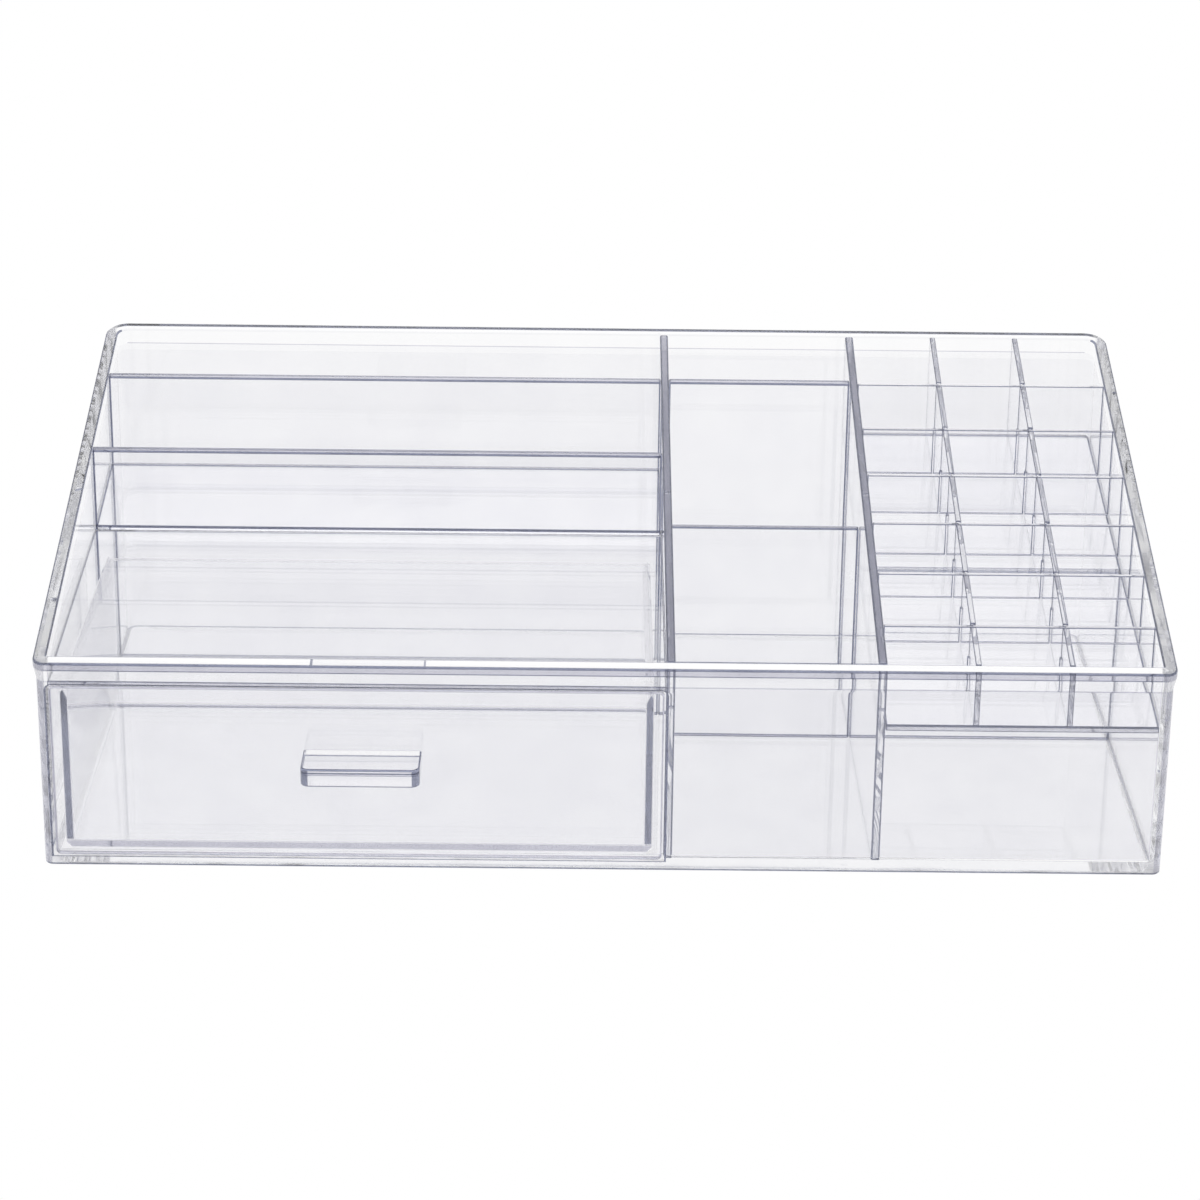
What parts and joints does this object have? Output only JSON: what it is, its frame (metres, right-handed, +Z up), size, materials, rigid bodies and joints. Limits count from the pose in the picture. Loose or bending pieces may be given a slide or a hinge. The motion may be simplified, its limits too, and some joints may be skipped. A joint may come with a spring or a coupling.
{
  "type": "vanity organizer with drawer",
  "caption": "Clear plastic vanity organizer: sloping rim, palette slots over a sliding drawer, an open bin and a lipstick grid on a raised floor.",
  "frame": {"origin": "on the resting plane, under the middle of the whole object with its pull", "axes": "+Z up, front and pull towards -Y, +X to the right seen from the front"},
  "size_m": [0.3216, 0.1924, 0.107],
  "materials": {
    "clear_plastic": "gloss"
  },
  "bodies": {
    "case": {"base_plate": "clear_plastic", "left_wall": "clear_plastic", "right_wall": "clear_plastic", "back_wall": "clear_plastic", "front_frame": "clear_plastic", "bay_partition": "clear_plastic", "lipstick_partition": "clear_plastic", "palette_rear_divider": "clear_plastic", "palette_front_divider": "clear_plastic", "bin_rear_divider": "clear_plastic", "bin_front_divider": "clear_plastic", "lipstick_support": "clear_plastic", "tray_floor": "clear_plastic", "palette_floor": "clear_plastic", "lipstick_floor": "clear_plastic", "lipstick_column_1": "clear_plastic", "lipstick_column_2": "clear_plastic", "lipstick_row_1": "clear_plastic", "lipstick_row_2": "clear_plastic", "lipstick_row_3": "clear_plastic", "lipstick_row_4": "clear_plastic", "lipstick_row_5": "clear_plastic", "lipstick_row_6": "clear_plastic"},
    "drawer": {"drawer_front": "clear_plastic", "drawer_left_side": "clear_plastic", "drawer_right_side": "clear_plastic", "drawer_floor": "clear_plastic", "drawer_back": "clear_plastic", "drawer_pull": "clear_plastic"}
  },
  "joints": [
    {"name": "drawer_slide", "type": "slide", "parent": "case", "child": "drawer", "axis": [0, -1, 0], "range_m": [0, 0.085]}
  ]
}
